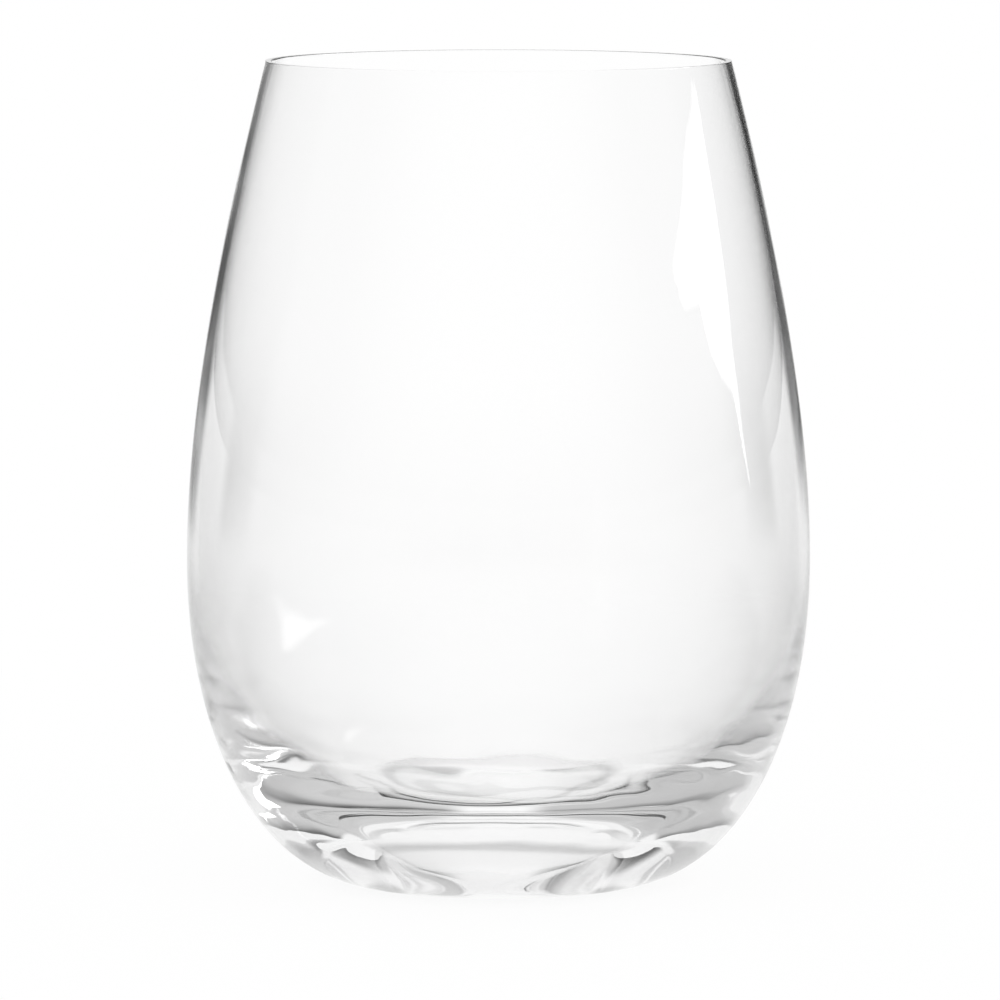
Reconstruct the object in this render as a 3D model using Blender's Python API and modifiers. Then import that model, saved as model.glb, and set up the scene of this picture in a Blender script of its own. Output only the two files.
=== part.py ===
"""Clear stemless tumbler: a thin blown bowl seated in the dished top of a heavy glass base.

Metres, +Z up. The origin is the middle of the ring that the glass stands on.
"""

import math

import bpy
from mathutils import Vector

# Outer outline of the whole glass
HEIGHT = 0.120
RIM_RADIUS = 0.034
BELLY_RADIUS = 0.04565
BELLY_HEIGHT = 0.047
FOOT_RADIUS = 0.0222

# Directions of the outer wall at its ends, and how far each end holds its direction
RIM_LEAN = math.radians(14.3)
RIM_RUN = 0.0387
BELLY_RUN_UP = 0.014
BELLY_RUN_DOWN = 0.0267
HEEL_RISE = math.radians(10.0)
HEEL_RUN = 0.0133

# Inside of the bowl
RIM_WALL = 0.0009
LIP_RISE = 0.0002
LIP_SQUARENESS = 0.35
BELLY_WALL = 0.0015
FLOOR_HEIGHT = 0.0062
INNER_BELLY_LIFT = 0.001
INNER_RUN_DOWN = 0.0275
FLOOR_RUN = 0.031

# Seat between the bowl and the base, and the underside of the base
SEAM_HEIGHT = 0.0141
SEAT_DIP = math.radians(24.0)
SEAT_RUN = 0.016
SEAT_FLOOR_RUN = 0.014
BOWL_FLOOR_WALL = 0.0017
SEAT_GAP = 0.0003
FOOT_WIDTH = 0.002
PUNT_DEPTH = 0.0006

# Fineness of the turned bodies
TURN_STEPS = 60
WALL_POINTS = 12
LOWER_POINTS = 12
SEAT_POINTS = 10
LIP_POINTS = 8
HEEL_POINTS = 9
PUNT_POINTS = 5
MERGE_DISTANCE = 0.00001
HALVINGS = 40

GLASS_COLOUR = (0.98, 0.99, 0.985, 1.0)
GLASS_ROUGHNESS = 0.02
GLASS_IOR = 1.51


def at(control, t):
    """Point of a cubic curve, given its two ends and their two handles in order."""
    a, b, c, d = control
    s = 1.0 - t
    return a * s**3 + b * (3 * s * s * t) + c * (3 * s * t * t) + d * t**3


def stretch(control, count, first=0.0, last=1.0):
    """Evenly spaced points along part of a cubic curve, both ends included."""
    return [at(control, first + (last - first) * i / count) for i in range(count + 1)]


def place_of_height(control, height):
    """Where along a falling curve it passes a height, found by halving the stretch."""
    low = 0.0
    high = 1.0
    for _ in range(HALVINGS):
        middle = (low + high) / 2
        if at(control, middle).y > height:
            low = middle
        else:
            high = middle
    return (low + high) / 2


# Outlines are half sections: x is the radius and y the height
LIP_RADIUS = RIM_WALL / 2
ALONG_WALL = Vector((math.sin(RIM_LEAN), -math.cos(RIM_LEAN)))
ACROSS_WALL = Vector((math.cos(RIM_LEAN), math.sin(RIM_LEAN)))
LIP_CENTRE = Vector((RIM_RADIUS - LIP_RADIUS * ACROSS_WALL.x, HEIGHT - LIP_RISE))

OUTER_TOP = LIP_CENTRE + ACROSS_WALL * LIP_RADIUS
OUTER_BELLY = Vector((BELLY_RADIUS, BELLY_HEIGHT))
OUTER_FOOT = Vector((FOOT_RADIUS, 0.0))
OUTER_UPPER = (
    OUTER_TOP,
    OUTER_TOP + ALONG_WALL * RIM_RUN,
    OUTER_BELLY + Vector((0.0, BELLY_RUN_UP)),
    OUTER_BELLY,
)
OUTER_LOWER = (
    OUTER_BELLY,
    OUTER_BELLY - Vector((0.0, BELLY_RUN_DOWN)),
    OUTER_FOOT + Vector((math.cos(HEEL_RISE), math.sin(HEEL_RISE))) * HEEL_RUN,
    OUTER_FOOT,
)

INNER_TOP = LIP_CENTRE - ACROSS_WALL * LIP_RADIUS
INNER_BELLY = Vector((BELLY_RADIUS - BELLY_WALL, BELLY_HEIGHT + INNER_BELLY_LIFT))
INNER_FLOOR = Vector((0.0, FLOOR_HEIGHT))
INNER_UPPER = (
    INNER_TOP,
    INNER_TOP + ALONG_WALL * RIM_RUN,
    INNER_BELLY + Vector((0.0, BELLY_RUN_UP)),
    INNER_BELLY,
)
INNER_LOWER = (
    INNER_BELLY,
    INNER_BELLY - Vector((0.0, INNER_RUN_DOWN)),
    INNER_FLOOR + Vector((FLOOR_RUN, 0.0)),
    INNER_FLOOR,
)


def seat_outline(drop):
    """Curve from the outer wall in to the axis, where the bowl meets the base."""
    edge = at(OUTER_LOWER, place_of_height(OUTER_LOWER, SEAM_HEIGHT - drop))
    middle = Vector((0.0, FLOOR_HEIGHT - BOWL_FLOOR_WALL - drop))
    inward = Vector((-math.cos(SEAT_DIP), -math.sin(SEAT_DIP)))
    return edge, edge + inward * SEAT_RUN, middle + Vector((SEAT_FLOOR_RUN, 0.0)), middle


def lip_outline():
    """Flat top of the rim with rounded corners, from the inner wall across to the outer one."""
    points = []
    for i in range(1, LIP_POINTS):
        turn = math.pi * (1 - i / LIP_POINTS)
        across = math.copysign(abs(math.cos(turn)) ** LIP_SQUARENESS, math.cos(turn))
        up = math.sin(turn) ** LIP_SQUARENESS
        side = ACROSS_WALL * LIP_RADIUS * across
        points.append(LIP_CENTRE + Vector((side.x, side.y * (1 - up) + LIP_RISE * up)))
    return points


def bowl_outline():
    """Up the inside from the axis, over the rim, down the outside and in along the seat."""
    inside = stretch(INNER_UPPER, WALL_POINTS) + stretch(INNER_LOWER, LOWER_POINTS)[1:]
    seam = place_of_height(OUTER_LOWER, SEAM_HEIGHT)
    outside = stretch(OUTER_UPPER, WALL_POINTS) + stretch(OUTER_LOWER, LOWER_POINTS, 0.0, seam)[1:]
    seat = stretch(seat_outline(0.0), SEAT_POINTS)
    return inside[::-1] + lip_outline() + outside + seat[1:]


def base_outline():
    """Out along the dished top from the axis, round the heel and in under the softly hollowed foot."""
    seat = stretch(seat_outline(SEAT_GAP), SEAT_POINTS)
    seam = place_of_height(OUTER_LOWER, SEAM_HEIGHT - SEAT_GAP)
    heel = stretch(OUTER_LOWER, HEEL_POINTS, seam, 1.0)
    punt = []
    for i in range(PUNT_POINTS + 1):
        share = 1 - i / PUNT_POINTS
        punt.append(Vector(((FOOT_RADIUS - FOOT_WIDTH) * share, PUNT_DEPTH * (1 - share * share) ** 2)))
    return seat[::-1] + heel[1:] + punt


def clear_glass(name):
    """Colourless glass, with a material of its own for each body."""
    material = bpy.data.materials.new(name)
    material.use_nodes = True
    shader = material.node_tree.nodes["Principled BSDF"]
    shader.inputs["Base Color"].default_value = GLASS_COLOUR
    shader.inputs["Roughness"].default_value = GLASS_ROUGHNESS
    shader.inputs["Metallic"].default_value = 0.0
    shader.inputs["IOR"].default_value = GLASS_IOR
    shader.inputs["Transmission Weight"].default_value = 1.0
    return material


def turned_body(name, outline, collection, parent):
    """Body of revolution about the Z axis, from a half section that ends on the axis."""
    mesh = bpy.data.meshes.new(name)
    corners = [(point.x, 0.0, point.y) for point in outline]
    mesh.from_pydata(corners, [(i, i + 1) for i in range(len(corners) - 1)], [])
    mesh.materials.append(clear_glass(name + "_glass"))
    body = bpy.data.objects.new(name, mesh)
    collection.objects.link(body)
    body.parent = parent
    turn = body.modifiers.new("turn", "SCREW")
    turn.axis = "Z"
    turn.angle = 2 * math.pi
    turn.steps = TURN_STEPS
    turn.render_steps = TURN_STEPS
    turn.use_merge_vertices = True
    turn.merge_threshold = MERGE_DISTANCE
    turn.use_smooth_shade = True
    return body


def main():
    for old in list(bpy.data.objects):
        bpy.data.objects.remove(old, do_unlink=True)
    collection = bpy.data.collections.new("stemless_tumbler")
    bpy.context.scene.collection.children.link(collection)
    stand = bpy.data.objects.new("tumbler_axis", None)
    collection.objects.link(stand)
    turned_body("bowl", bowl_outline(), collection, stand)
    turned_body("base", base_outline(), collection, stand)


main()
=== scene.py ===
"""Looks of the clear stemless tumbler, in metres with +Z up.

No surface shows between the bowl and its heavy base, as in glass that is joined hot.
One seamless skin of glass therefore stands for both.
"""

import math

import bpy
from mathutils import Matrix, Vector


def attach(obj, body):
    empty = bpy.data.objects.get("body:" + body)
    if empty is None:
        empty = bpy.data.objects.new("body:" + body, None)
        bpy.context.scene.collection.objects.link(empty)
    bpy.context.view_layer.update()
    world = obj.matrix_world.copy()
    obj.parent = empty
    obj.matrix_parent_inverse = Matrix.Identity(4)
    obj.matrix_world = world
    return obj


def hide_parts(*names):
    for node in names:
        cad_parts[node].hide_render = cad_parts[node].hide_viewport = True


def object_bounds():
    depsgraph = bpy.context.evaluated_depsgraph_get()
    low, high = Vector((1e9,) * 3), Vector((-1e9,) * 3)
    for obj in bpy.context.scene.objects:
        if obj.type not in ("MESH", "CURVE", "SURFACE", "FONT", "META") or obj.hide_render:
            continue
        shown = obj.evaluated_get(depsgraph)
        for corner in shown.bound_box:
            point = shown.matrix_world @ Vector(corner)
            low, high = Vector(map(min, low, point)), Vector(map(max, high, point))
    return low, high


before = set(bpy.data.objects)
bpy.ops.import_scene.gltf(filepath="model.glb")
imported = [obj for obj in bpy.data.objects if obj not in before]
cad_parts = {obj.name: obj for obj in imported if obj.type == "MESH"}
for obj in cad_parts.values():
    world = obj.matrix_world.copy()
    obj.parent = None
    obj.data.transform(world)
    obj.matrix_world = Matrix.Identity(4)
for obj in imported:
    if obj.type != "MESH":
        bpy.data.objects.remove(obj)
cad_low, cad_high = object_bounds()

# Outer outline of the glass
HEIGHT = cad_high.z
RIM_RADIUS = 0.034
BELLY_RADIUS = cad_high.x
BELLY_HEIGHT = 0.047
FOOT_RADIUS = 0.0222

# Directions of the outer wall at its ends, and how far each end holds its direction
RIM_LEAN = math.radians(14.3)
RIM_RUN = 0.0387
BELLY_RUN_UP = 0.014
BELLY_RUN_DOWN = 0.0267
HEEL_RISE = math.radians(10.0)
HEEL_RUN = 0.0133

# Inside of the bowl
RIM_WALL = 0.0009
LIP_RISE = 0.0002
LIP_SQUARENESS = 0.35
BELLY_WALL = 0.0015
FLOOR_HEIGHT = 0.0062
INNER_BELLY_LIFT = 0.001
INNER_RUN_DOWN = 0.0275
FLOOR_RUN = 0.031

# Underside of the base
FOOT_WIDTH = 0.002
PUNT_DEPTH = 0.0006

# Fineness of the skin, and how much closer together the points lie towards the lip
TURN_STEPS = 240
UPPER_POINTS = 48
LIP_CROWD = 2.0
LOWER_POINTS = 64
LIP_POINTS = 16
FOOT_POINTS = 3
PUNT_POINTS = 14
MERGE_DISTANCE = 1e-6

# Waves on the inside of the heavy base: their size and noise, and the heights between which they fade out
WAVE_HEIGHT = 0.00022
WAVE_LENGTH = 0.012
WAVE_FLATNESS = 0.35
WAVE_NOISE_SIZE = 1.0
WAVE_NOISE_DEPTH = 1
WAVE_NOISE_PLACE = (0.0, 0.3, 0.05)
WAVE_FULL = 0.018
WAVE_END = 0.045

# Camera of a square picture
PICTURE_WIDTH = 1000
SENSOR_WIDTH = 36.0
FOCAL_PIXELS = 7509.8
CAMERA_DISTANCE = 1.1
CAMERA_RISE = math.radians(6.04)
AIM_HEIGHT = 0.0556
CAMERA_SIDE = 0.00022

# Light may turn this often in the thick base before it is given up
LIGHT_BOUNCES = 32


def at(control, t):
    """Point of a cubic curve, given its two ends and their two handles in order."""
    a, b, c, d = control
    s = 1.0 - t
    return a * s**3 + b * (3 * s * s * t) + c * (3 * s * t * t) + d * t**3


def stretch(control, count, crowd=1.0):
    """Points along a cubic curve, both ends included, closer together at its start if crowded."""
    return [at(control, (i / count) ** crowd) for i in range(count + 1)]


# Half section of the glass: x is the radius and y the height
LIP_RADIUS = RIM_WALL / 2
ALONG_WALL = Vector((math.sin(RIM_LEAN), -math.cos(RIM_LEAN)))
ACROSS_WALL = Vector((math.cos(RIM_LEAN), math.sin(RIM_LEAN)))
LIP_CENTRE = Vector((RIM_RADIUS - LIP_RADIUS * ACROSS_WALL.x, HEIGHT - LIP_RISE))

OUTER_TOP = LIP_CENTRE + ACROSS_WALL * LIP_RADIUS
OUTER_BELLY = Vector((BELLY_RADIUS, BELLY_HEIGHT))
OUTER_FOOT = Vector((FOOT_RADIUS, 0.0))
OUTER_UPPER = (
    OUTER_TOP,
    OUTER_TOP + ALONG_WALL * RIM_RUN,
    OUTER_BELLY + Vector((0.0, BELLY_RUN_UP)),
    OUTER_BELLY,
)
OUTER_LOWER = (
    OUTER_BELLY,
    OUTER_BELLY - Vector((0.0, BELLY_RUN_DOWN)),
    OUTER_FOOT + Vector((math.cos(HEEL_RISE), math.sin(HEEL_RISE))) * HEEL_RUN,
    OUTER_FOOT,
)

INNER_TOP = LIP_CENTRE - ACROSS_WALL * LIP_RADIUS
INNER_BELLY = Vector((BELLY_RADIUS - BELLY_WALL, BELLY_HEIGHT + INNER_BELLY_LIFT))
INNER_FLOOR = Vector((0.0, FLOOR_HEIGHT))
INNER_UPPER = (
    INNER_TOP,
    INNER_TOP + ALONG_WALL * RIM_RUN,
    INNER_BELLY + Vector((0.0, BELLY_RUN_UP)),
    INNER_BELLY,
)
INNER_LOWER = (
    INNER_BELLY,
    INNER_BELLY - Vector((0.0, INNER_RUN_DOWN)),
    INNER_FLOOR + Vector((FLOOR_RUN, 0.0)),
    INNER_FLOOR,
)


def inside():
    """Inner wall from the lip down to the middle of the floor."""
    return stretch(INNER_UPPER, UPPER_POINTS, crowd=LIP_CROWD) + stretch(INNER_LOWER, LOWER_POINTS)[1:]


def lip():
    """Flat top of the rim with rounded corners, from the inner wall across to the outer one."""
    points = []
    for i in range(1, LIP_POINTS):
        turn = math.pi * (1 - i / LIP_POINTS)
        across = math.copysign(abs(math.cos(turn)) ** LIP_SQUARENESS, math.cos(turn))
        up = math.sin(turn) ** LIP_SQUARENESS
        side = ACROSS_WALL * LIP_RADIUS * across
        points.append(LIP_CENTRE + Vector((side.x, side.y * (1 - up) + LIP_RISE * up)))
    return points


def outside():
    """Outer wall from the lip down to the foot."""
    return stretch(OUTER_UPPER, UPPER_POINTS, crowd=LIP_CROWD) + stretch(OUTER_LOWER, LOWER_POINTS)[1:]


def underside():
    """Flat foot ring and the soft shallow hollow under the base."""
    flat = [Vector((FOOT_RADIUS - FOOT_WIDTH * i / FOOT_POINTS, 0.0)) for i in range(1, FOOT_POINTS)]
    hollow = []
    for i in range(PUNT_POINTS + 1):
        share = 1 - i / PUNT_POINTS
        hollow.append(Vector(((FOOT_RADIUS - FOOT_WIDTH) * share, PUNT_DEPTH * (1 - share * share) ** 2)))
    return flat + hollow


def turn_glass():
    """Skin of the whole glass, spun from its half section.

    The section runs up the inside from the axis, over the lip, down the outside and in under the foot.
    """
    bpy.ops.object.select_all(action="DESELECT")
    bpy.ops.mesh.primitive_plane_add(size=FOOT_RADIUS)
    glass = bpy.context.object
    glass.name = "tumbler_glass"
    bpy.ops.object.mode_set(mode="EDIT")
    bpy.ops.mesh.merge(type="CENTER")
    points = inside()[::-1] + lip() + outside() + underside()
    bpy.ops.transform.translate(value=(points[0].x, 0.0, points[0].y))
    for before, after in zip(points, points[1:]):
        step = after - before
        bpy.ops.mesh.extrude_region_move(TRANSFORM_OT_translate={"value": (step.x, 0.0, step.y)})
    bpy.ops.mesh.select_all(action="SELECT")
    bpy.ops.mesh.spin(steps=TURN_STEPS, angle=2 * math.pi, center=(0, 0, 0), axis=(0, 0, 1))
    bpy.ops.mesh.select_all(action="SELECT")
    bpy.ops.mesh.remove_doubles(threshold=MERGE_DISTANCE)
    bpy.ops.mesh.normals_make_consistent(inside=False)
    bpy.ops.object.mode_set(mode="OBJECT")
    bpy.ops.object.shade_smooth()
    return glass


def wave_inside(glass):
    """Low uneven waves where the skin of the lower part faces up, fading out up the wall."""
    facing_up = glass.vertex_groups.new(name="facing_up")
    for vertex in glass.data.vertices:
        if vertex.normal.z > 0.0:
            share = min(1.0, max(0.0, (WAVE_END - vertex.co.z) / (WAVE_END - WAVE_FULL)))
            facing_up.add([vertex.index], share * share * (3 - 2 * share), "REPLACE")
    stretcher = bpy.data.objects.new("wave_stretcher", None)
    bpy.context.scene.collection.objects.link(stretcher)
    stretcher.location = WAVE_NOISE_PLACE
    stretcher.scale = (WAVE_LENGTH, WAVE_LENGTH, WAVE_LENGTH * WAVE_FLATNESS)
    bpy.context.view_layer.update()
    clouds = bpy.data.textures.new("blown_waves", "CLOUDS")
    clouds.noise_scale = WAVE_NOISE_SIZE
    clouds.noise_depth = WAVE_NOISE_DEPTH
    waves = glass.modifiers.new("waves", "DISPLACE")
    waves.texture = clouds
    waves.texture_coords = "OBJECT"
    waves.texture_coords_object = stretcher
    waves.vertex_group = facing_up.name
    waves.strength = WAVE_HEIGHT
    bpy.ops.object.modifier_apply(modifier=waves.name)
    bpy.data.objects.remove(stretcher)


WHITE = (1.0, 1.0, 1.0, 1.0)


def grey(level):
    """Plain grey colour."""
    return (level, level, level, 1.0)


def put(tree, value, socket):
    """Link another socket to this one, or set it to a plain value."""
    if isinstance(value, bpy.types.NodeSocket):
        tree.links.new(value, socket)
    else:
        socket.default_value = value


def work_out(tree, operation, *values):
    """Output of a Math node whose inputs are sockets or plain numbers."""
    node = tree.nodes.new("ShaderNodeMath")
    node.operation = operation
    for value, socket in zip(values, node.inputs):
        put(tree, value, socket)
    return node.outputs[0]


def mixed(tree, kind, share, first, second):
    """Mix of two numbers or two colours, which is the first at a share of 0 and the second at 1."""
    node = tree.nodes.new("ShaderNodeMix")
    node.data_type = kind
    put(tree, share, node.inputs["Factor"])
    put(tree, first, node.inputs["A"])
    put(tree, second, node.inputs["B"])
    return node.outputs["Result"]


def split(tree, vector):
    """X, Y and Z of a vector."""
    node = tree.nodes.new("ShaderNodeSeparateXYZ")
    tree.links.new(vector, node.inputs[0])
    return node.outputs


def fade(tree, value, start, end, low=0.0, high=1.0):
    """Smooth step of a value, from low at its start to high at its end."""
    node = tree.nodes.new("ShaderNodeMapRange")
    node.interpolation_type = "SMOOTHSTEP"
    node.inputs["From Min"].default_value = start
    node.inputs["From Max"].default_value = end
    node.inputs["To Min"].default_value = low
    node.inputs["To Max"].default_value = high
    tree.links.new(value, node.inputs["Value"])
    return node.outputs["Result"]


def brightness_ramp(tree, value, stops, reach):
    """Brightness along a ramp whose stops are given as places up to a reach."""
    ramp = tree.nodes.new("ShaderNodeValToRGB")
    elements = ramp.color_ramp.elements
    elements.remove(elements[1])
    for i, (place, brightness) in enumerate(stops):
        element = elements[0] if i == 0 else elements.new(place / reach)
        element.position = place / reach
        element.color = grey(brightness)
    tree.links.new(work_out(tree, "DIVIDE", value, reach), ramp.inputs["Fac"])
    return ramp.outputs["Color"]


def grain(tree, place, scale, detail):
    """Soft noise over the glass, on its own coordinates."""
    node = tree.nodes.new("ShaderNodeTexNoise")
    node.inputs["Scale"].default_value = scale
    node.inputs["Detail"].default_value = detail
    tree.links.new(place, node.inputs["Vector"])
    return node.outputs["Fac"]


GLASS_IOR = 1.51

# Painted shade in the glass's colour where it is seen edge on, by height, standing for the dark
# surroundings at its outline
EDGE_SHADE_STOPS = (
    (0.0, 0.5),
    (0.012, 0.48),
    (0.025, 0.42),
    (0.04, 0.42),
    (0.048, 0.5),
    (0.054, 0.54),
    (0.061, 0.58),
    (0.068, 0.74),
    (0.077, 0.95),
    (HEIGHT, 0.96),
)

# How suddenly that painted shade sets in, and the radii between which it does, clear of the inner floor
EDGE_POWER = 1.8
EDGE_START = 0.024
EDGE_FULL = 0.033

# Handling marks: their noise, the share that is left between them, and their roughness by height
SMUDGE_SCALE = 38.0
SMUDGE_DETAIL = 4.0
SMUDGE_START = 0.35
SMUDGE_END = 0.65
SMUDGE_LEAST = 0.6
SMUDGE_STOPS = (
    (0.0, 0.0),
    (0.018, 0.02),
    (0.026, 0.105),
    (0.042, 0.105),
    (0.055, 0.03),
    (HEIGHT, 0.02),
)

# Faint ripple of blown glass
RIPPLE_SCALE = 55.0
RIPPLE_DETAIL = 1.0
RIPPLE_HEIGHT = 0.00006


def clear_glass():
    """Colourless glass with shade painted into its colour where it is seen edge on, with faint smudges and
    ripples.
    """
    material = bpy.data.materials.new("clear_glass")
    material.use_nodes = True
    tree = material.node_tree
    nodes = tree.nodes
    links = tree.links
    shader = nodes["Principled BSDF"]
    shader.inputs["Metallic"].default_value = 0.0
    shader.inputs["Transmission Weight"].default_value = 1.0
    shader.inputs["IOR"].default_value = GLASS_IOR
    place = nodes.new("ShaderNodeTexCoord").outputs["Object"]
    x, y, height = split(tree, place)
    squares = work_out(tree, "MULTIPLY_ADD", y, y, work_out(tree, "MULTIPLY", x, x))
    radius = work_out(tree, "SQRT", squares)
    facing = nodes.new("ShaderNodeLayerWeight").outputs["Facing"]
    edge = work_out(tree, "POWER", facing, EDGE_POWER)
    edge = work_out(tree, "MULTIPLY", edge, fade(tree, radius, EDGE_START, EDGE_FULL))
    # The grey mixed into the base colour here is painted shade, darker where the glass is seen edge on
    painted_edge_shade = mixed(tree, "RGBA", edge, WHITE, brightness_ramp(tree, height, EDGE_SHADE_STOPS, HEIGHT))
    links.new(painted_edge_shade, shader.inputs["Base Color"])
    marks = grain(tree, place, SMUDGE_SCALE, SMUDGE_DETAIL)
    smudges = fade(tree, marks, SMUDGE_START, SMUDGE_END, low=SMUDGE_LEAST)
    held = brightness_ramp(tree, height, SMUDGE_STOPS, HEIGHT)
    links.new(work_out(tree, "MULTIPLY", smudges, held), shader.inputs["Roughness"])
    ripple = nodes.new("ShaderNodeBump")
    ripple.inputs["Distance"].default_value = RIPPLE_HEIGHT
    links.new(grain(tree, place, RIPPLE_SCALE, RIPPLE_DETAIL), ripple.inputs["Height"])
    links.new(ripple.outputs["Normal"], shader.inputs["Normal"])
    return material


def bare_material(name):
    """New material with no nodes yet."""
    material = bpy.data.materials.new(name)
    material.use_nodes = True
    material.node_tree.nodes.clear()
    return material


FLOOR_SIZE = 40.0
FLOOR_DROP = 0.0001
FLOOR_PAINT = 0.9

# Share of plain white in the floor by distance from the middle of the glass, beside paint that takes shadow
GLOW_REACH = 0.25
GLOW_STOPS = (
    (0.0, 0.97),
    (0.0105, 0.97),
    (0.0135, 0.9),
    (0.0175, 0.86),
    (0.0188, 0.45),
    (0.0198, 0.45),
    (0.0212, 0.92),
    (0.03, 0.97),
    (GLOW_REACH, 1.0),
)

# Dimming of the far floor in the glass: distances between which it sets in, and its strength at the front
FAR_START = 0.45
FAR_END = 1.05
FRONT_DIM = 0.2

# White lanes behind the glass: their count all round, the cosines that bound a gap, and the gap's dimming
LANES = 8
GAP_START = 0.3
GAP_FULL = -0.7
GAP_DIM = 0.88

# Share of a spot's distance that lies straight behind the glass from which the lanes are full
BEHIND_FULL = 0.5


def far_dim(tree, spot, radius):
    """Dimming of the far floor: even at the front, and in gaps between white lanes behind the glass."""
    x, y, _ = split(tree, spot)
    turn = work_out(tree, "ARCTAN2", x, y)
    lane = work_out(tree, "COSINE", work_out(tree, "MULTIPLY", turn, LANES))
    gap = work_out(tree, "MULTIPLY", fade(tree, lane, GAP_START, GAP_FULL), GAP_DIM)
    behind = fade(tree, work_out(tree, "DIVIDE", y, radius), 0.0, BEHIND_FULL)
    dim = mixed(tree, "FLOAT", behind, FRONT_DIM, gap)
    return work_out(tree, "MULTIPLY", fade(tree, radius, FAR_START, FAR_END), dim)


def white_floor():
    """Plain white sweep that shows white, and still takes a faint shadow of the glass."""
    bpy.ops.object.select_all(action="DESELECT")
    bpy.ops.mesh.primitive_plane_add(size=FLOOR_SIZE, location=(0.0, 0.0, -FLOOR_DROP))
    floor = bpy.context.object
    floor.name = "floor"
    material = bare_material("white_floor")
    tree = material.node_tree
    nodes = tree.nodes
    links = tree.links
    spot = nodes.new("ShaderNodeNewGeometry").outputs["Position"]
    reach = nodes.new("ShaderNodeVectorMath")
    reach.operation = "LENGTH"
    links.new(spot, reach.inputs[0])
    radius = reach.outputs["Value"]
    ray = nodes.new("ShaderNodeLightPath").outputs
    in_glass = work_out(tree, "SUBTRACT", 1.0, far_dim(tree, spot, radius))
    glow = nodes.new("ShaderNodeEmission")
    links.new(mixed(tree, "FLOAT", ray["Is Camera Ray"], in_glass, 1.0), glow.inputs["Strength"])
    paint = nodes.new("ShaderNodeBsdfDiffuse")
    paint.inputs["Color"].default_value = grey(FLOOR_PAINT)
    seen = work_out(tree, "MAXIMUM", ray["Is Glossy Ray"], ray["Is Transmission Ray"])
    seen = work_out(tree, "MAXIMUM", ray["Is Camera Ray"], seen)
    share = brightness_ramp(tree, radius, GLOW_STOPS, GLOW_REACH)
    surface = nodes.new("ShaderNodeMixShader")
    links.new(work_out(tree, "MULTIPLY", seen, share), surface.inputs["Fac"])
    links.new(paint.outputs[0], surface.inputs[1])
    links.new(glow.outputs[0], surface.inputs[2])
    output = nodes.new("ShaderNodeOutputMaterial")
    links.new(surface.outputs[0], output.inputs["Surface"])
    floor.data.materials.append(material)


# Brightness of the room by degrees above the horizon, on the left, on the right and at the front
ZENITH = 90
ROOM_LEFT = (
    (0, 0.1),
    (2, 0.24),
    (4, 0.3),
    (9, 0.52),
    (22, 0.56),
    (43, 0.54),
    (56, 0.66),
    (70, 0.88),
    (ZENITH, 0.9),
)
ROOM_RIGHT = (
    (0, 0.0),
    (2, 0.05),
    (4, 0.17),
    (7, 0.33),
    (12, 0.52),
    (22, 0.62),
    (43, 0.64),
    (70, 0.74),
    (ZENITH, 0.9),
)
ROOM_FRONT = (
    (0, 0.7),
    (11, 1.0),
    (43, 1.05),
    (70, 0.95),
    (ZENITH, 0.9),
)

# Where the left turns into the right and the sides into the front, as parts of a direction one unit long
ROOM_TURN = 0.3
FRONT_START = -0.3
FRONT_FULL = -1.0

# Least brightness from the sides forward, and how far behind the glass it has faded out
SIDE_LEAST = 0.62
SIDE_LEAST_END = 0.45

# How far the white backdrop behind the glass reaches to the sides before it fades
BACKDROP_START = 0.10
BACKDROP_END = 0.24


def soft_room():
    """Room round the glass: pale, with a white backdrop and a dim band near the horizon beside it."""
    world = bpy.data.worlds.new("soft_room")
    bpy.context.scene.world = world
    world.use_nodes = True
    tree = world.node_tree
    nodes = tree.nodes
    links = tree.links
    nodes.clear()
    x, y, z = split(tree, nodes.new("ShaderNodeTexCoord").outputs["Generated"])
    rise = work_out(tree, "DEGREES", work_out(tree, "ARCSINE", z))
    left = brightness_ramp(tree, rise, ROOM_LEFT, ZENITH)
    right = brightness_ramp(tree, rise, ROOM_RIGHT, ZENITH)
    front = brightness_ramp(tree, rise, ROOM_FRONT, ZENITH)
    sides = mixed(tree, "RGBA", fade(tree, x, -ROOM_TURN, ROOM_TURN), left, right)
    sides = work_out(tree, "MAXIMUM", sides, fade(tree, y, SIDE_LEAST_END, 0.0, high=SIDE_LEAST))
    whole = mixed(tree, "RGBA", fade(tree, y, FRONT_START, FRONT_FULL), sides, front)
    aside = fade(tree, work_out(tree, "ABSOLUTE", x), BACKDROP_END, BACKDROP_START)
    behind = work_out(tree, "MULTIPLY", aside, fade(tree, y, 0.0, BACKDROP_END))
    lit = mixed(tree, "RGBA", behind, whole, WHITE)
    ray = nodes.new("ShaderNodeLightPath").outputs
    shine = nodes.new("ShaderNodeBackground")
    links.new(mixed(tree, "RGBA", ray["Is Camera Ray"], lit, WHITE), shine.inputs["Color"])
    output = nodes.new("ShaderNodeOutputWorld")
    links.new(shine.outputs[0], output.inputs["Surface"])


# Bright window pane: its distance to the right, and its corners as distances behind the glass and heights
WINDOW_SIDE = 0.9
WINDOW_PANE = (
    (0.34, 0.337),
    (0.15, 0.335),
    (-0.02, 0.321),
    (-0.20, 0.288),
    (-0.205, 0.268),
    (-0.165, 0.252),
    (-0.04, 0.238),
    (0.0, 0.195),
    (0.06, 0.167),
    (0.15, 0.143),
    (0.2, 0.1),
    (0.24, 0.05),
    (0.25, 0.05),
    (0.215, 0.12),
    (0.215, 0.18),
    (0.26, 0.23),
    (0.29, 0.28),
)
WINDOW_GLOW = 4.0
WINDOW_FADE = 0.012


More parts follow.
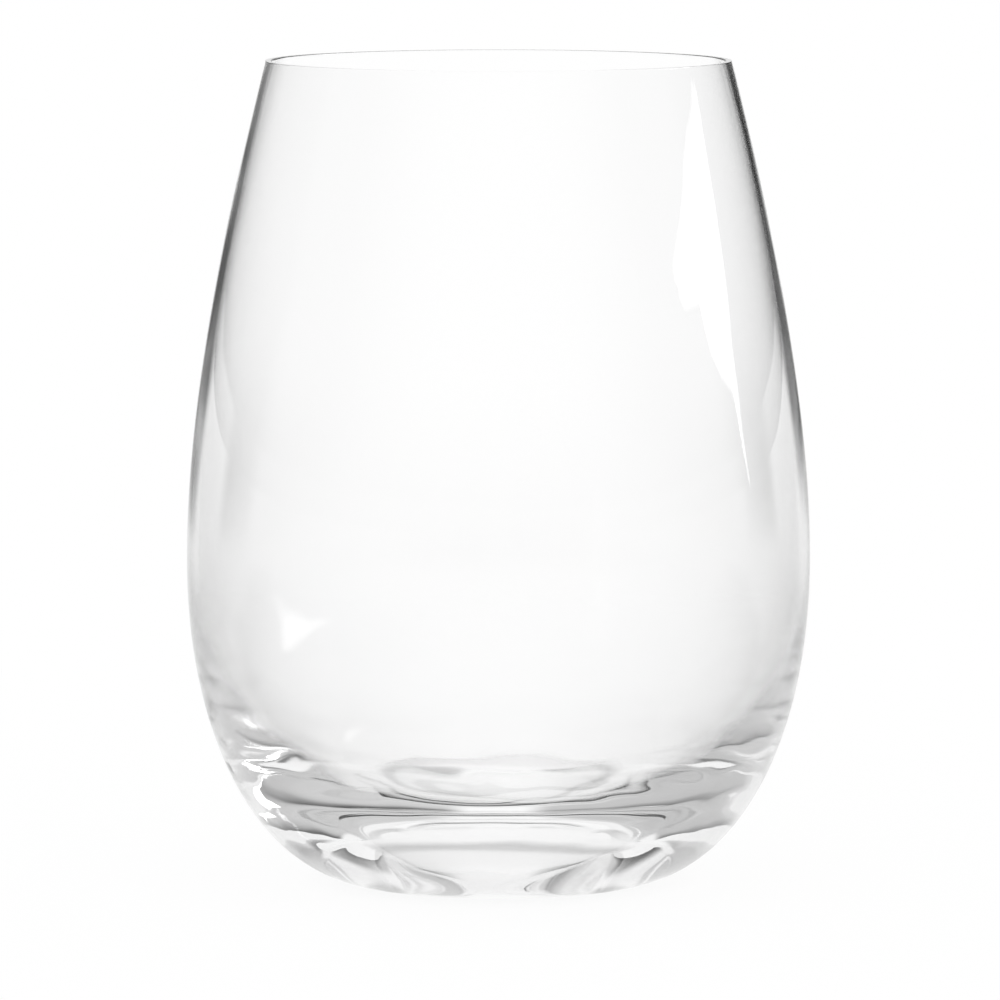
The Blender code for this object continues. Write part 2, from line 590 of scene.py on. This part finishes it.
def window_card():
    """Bright pane on the right with soft edges, which leaves a highlight on the wall of the bowl."""
    bpy.ops.object.select_all(action="DESELECT")
    bpy.ops.mesh.primitive_circle_add(vertices=len(WINDOW_PANE), fill_type="NGON")
    card = bpy.context.object
    card.name = "window_pane"
    for vertex, (behind, height) in zip(card.data.vertices, WINDOW_PANE):
        vertex.co = (WINDOW_SIDE, behind, height)
    bpy.ops.object.mode_set(mode="EDIT")
    bpy.ops.mesh.select_all(action="SELECT")
    bpy.ops.mesh.inset(thickness=WINDOW_FADE)
    bpy.ops.object.mode_set(mode="OBJECT")
    glow_of = card.data.color_attributes.new("glow", "FLOAT_COLOR", "POINT")
    middle = max(card.data.polygons, key=lambda face: len(face.vertices))
    for i, corner in enumerate(glow_of.data):
        corner.color = grey(1.0 if i in middle.vertices else 0.0)
    card.visible_camera = False
    material = bare_material("window_pane_glow")
    tree = material.node_tree
    shade = tree.nodes.new("ShaderNodeVertexColor")
    shade.layer_name = "glow"
    glow = tree.nodes.new("ShaderNodeEmission")
    glow.inputs["Strength"].default_value = WINDOW_GLOW
    tree.links.new(shade.outputs["Color"], glow.inputs["Color"])
    output = tree.nodes.new("ShaderNodeOutputMaterial")
    tree.links.new(glow.outputs[0], output.inputs["Surface"])
    card.data.materials.append(material)


LAMP_PLACE = (0.0, -0.2, 1.6)
LAMP_SIZE = 1.2
LAMP_POWER = 9.0


def soft_lamp():
    """Large square lamp overhead that faces the glass and isn't seen itself."""
    light = bpy.data.lights.new("overhead_lamp", "AREA")
    light.size = LAMP_SIZE
    light.energy = LAMP_POWER
    lamp = bpy.data.objects.new("overhead_lamp", light)
    bpy.context.scene.collection.objects.link(lamp)
    lamp.location = LAMP_PLACE
    way_to_glass = Vector((0.0, 0.0, AIM_HEIGHT)) - lamp.location
    lamp.rotation_euler = way_to_glass.to_track_quat("-Z", "Y").to_euler()
    lamp.visible_camera = False
    lamp.visible_glossy = False
    lamp.visible_transmission = False


def set_camera():
    """Camera at the photograph's viewing angle and framing."""
    data = bpy.data.cameras.new("camera")
    data.sensor_width = SENSOR_WIDTH
    data.lens = SENSOR_WIDTH * FOCAL_PIXELS / PICTURE_WIDTH
    data.clip_end = 2 * FLOOR_SIZE
    camera = bpy.data.objects.new("camera", data)
    bpy.context.scene.collection.objects.link(camera)
    back = CAMERA_DISTANCE * math.cos(CAMERA_RISE)
    up = CAMERA_DISTANCE * math.sin(CAMERA_RISE)
    camera.location = (CAMERA_SIDE, -back, AIM_HEIGHT + up)
    camera.rotation_euler = (math.pi / 2 - CAMERA_RISE, 0.0, 0.0)
    bpy.context.scene.camera = camera


glass = turn_glass()
wave_inside(glass)
glass.data.materials.append(clear_glass())
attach(glass, "root")
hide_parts("bowl", "base")

white_floor()
soft_room()
window_card()
soft_lamp()
set_camera()
scene = bpy.context.scene
scene.view_settings.view_transform = "Standard"
scene.cycles.max_bounces = LIGHT_BOUNCES
scene.cycles.glossy_bounces = LIGHT_BOUNCES
scene.cycles.transmission_bounces = LIGHT_BOUNCES
